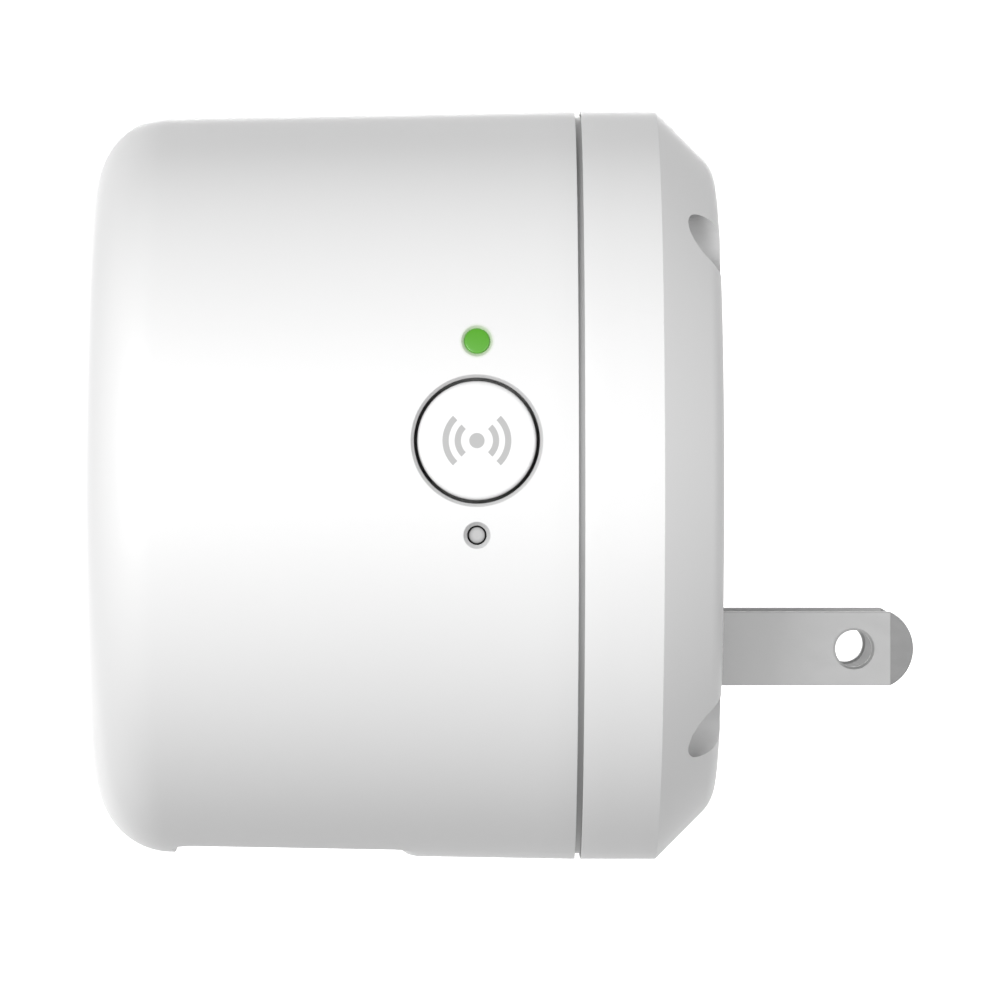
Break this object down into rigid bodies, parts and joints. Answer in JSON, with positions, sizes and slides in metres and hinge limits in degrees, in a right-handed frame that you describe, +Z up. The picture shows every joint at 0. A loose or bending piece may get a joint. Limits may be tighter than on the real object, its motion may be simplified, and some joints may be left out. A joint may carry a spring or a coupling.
{
  "type": "wifi range extender",
  "caption": "Round plug-in wifi range extender: white two-piece case with side button, reset hole and status light, flat blades on its back for a wall outlet.",
  "frame": {"origin": "centre of the flat rear face, where it meets the wall plate", "axes": "+X out of the rear face along the plug blades, -Y the side with the controls, +Z up"},
  "size_m": [0.0708, 0.0654, 0.0654],
  "materials": {
    "case_white": "fine moulded satin, near white",
    "button_white": "fine moulded satin, near white",
    "reset_grey": "plain moulded",
    "light_green": "tinted clear, lit green",
    "led_white": "moulded lamp body",
    "blade_nickel": "nickel-plated brass, rolled",
    "screw_steel": "zinc plated",
    "carrier_white": "heat-resistant moulding",
    "board_green": "glass-epoxy board with solder mask",
    "board_tan": "paper-epoxy board",
    "capacitor_sleeve": "shrunk sleeve",
    "ferrite": "sintered ferrite",
    "winding_tape": "polyester tape over copper wire",
    "bobbin_black": "phenolic moulding",
    "chip_black": "moulded epoxy",
    "resistor_green": "cement-coated film",
    "capacitor_blue": "dipped ceramic disc",
    "insulation_film": "polyester film",
    "connector_black": "moulded connector",
    "switch_black": "moulded switch body",
    "plunger_white": "moulded plunger",
    "can_tinplate": "tin-plated sheet",
    "pad_grey": "filled silicone pad",
    "sink_aluminium": "extruded",
    "antenna_strip": "stamped strip",
    "crystal_can": "sealed metal can"
  },
  "bodies": {
    "case": {"front_housing": "case_white", "rear_cover": "case_white", "case_screws": "screw_steel", "wps_switch_body": "switch_black", "reset_switch_body": "switch_black", "status_light_pipe": "light_green", "status_led": "led_white", "plug_blade_neutral": "blade_nickel", "plug_blade_line": "blade_nickel", "blade_carrier": "carrier_white", "power_board": "board_tan", "power_board_screws": "screw_steel", "bulk_capacitors": "capacitor_sleeve", "output_capacitor": "capacitor_sleeve", "transformer_core": "ferrite", "transformer_winding": "winding_tape", "transformer_bobbin": "bobbin_black", "bridge_rectifier": "chip_black", "optocoupler": "chip_black", "power_controller": "chip_black", "output_diode": "chip_black", "fusible_resistor": "resistor_green", "line_choke": "bobbin_black", "safety_capacitor": "capacitor_blue", "insulation_sheet": "insulation_film", "board_header": "connector_black", "board_socket": "connector_black", "main_board": "board_green", "main_board_screws": "screw_steel", "wifi_processor": "chip_black", "memory_chip": "chip_black", "crystal": "crystal_can", "shield_can": "can_tinplate", "thermal_pads": "pad_grey", "heat_sink": "sink_aluminium", "power_inductor": "ferrite", "voltage_regulator": "chip_black", "antenna_control_side": "antenna_strip", "antenna_far_side": "antenna_strip"},
    "button": {"wps_button": "button_white", "wps_switch_plunger": "plunger_white"},
    "reset": {"reset_pin": "reset_grey", "reset_switch_plunger": "plunger_white"}
  },
  "joints": [
    {"name": "wps_press", "type": "slide", "parent": "case", "child": "button", "axis": [0, 1, 0], "range_m": [0, 0.0004], "stiffness_N_per_m": 1000, "springref_m": -0.0005},
    {"name": "reset_press", "type": "slide", "parent": "case", "child": "reset", "axis": [0, 1, 0], "range_m": [0, 0.0003], "stiffness_N_per_m": 1000, "springref_m": -0.0003}
  ]
}
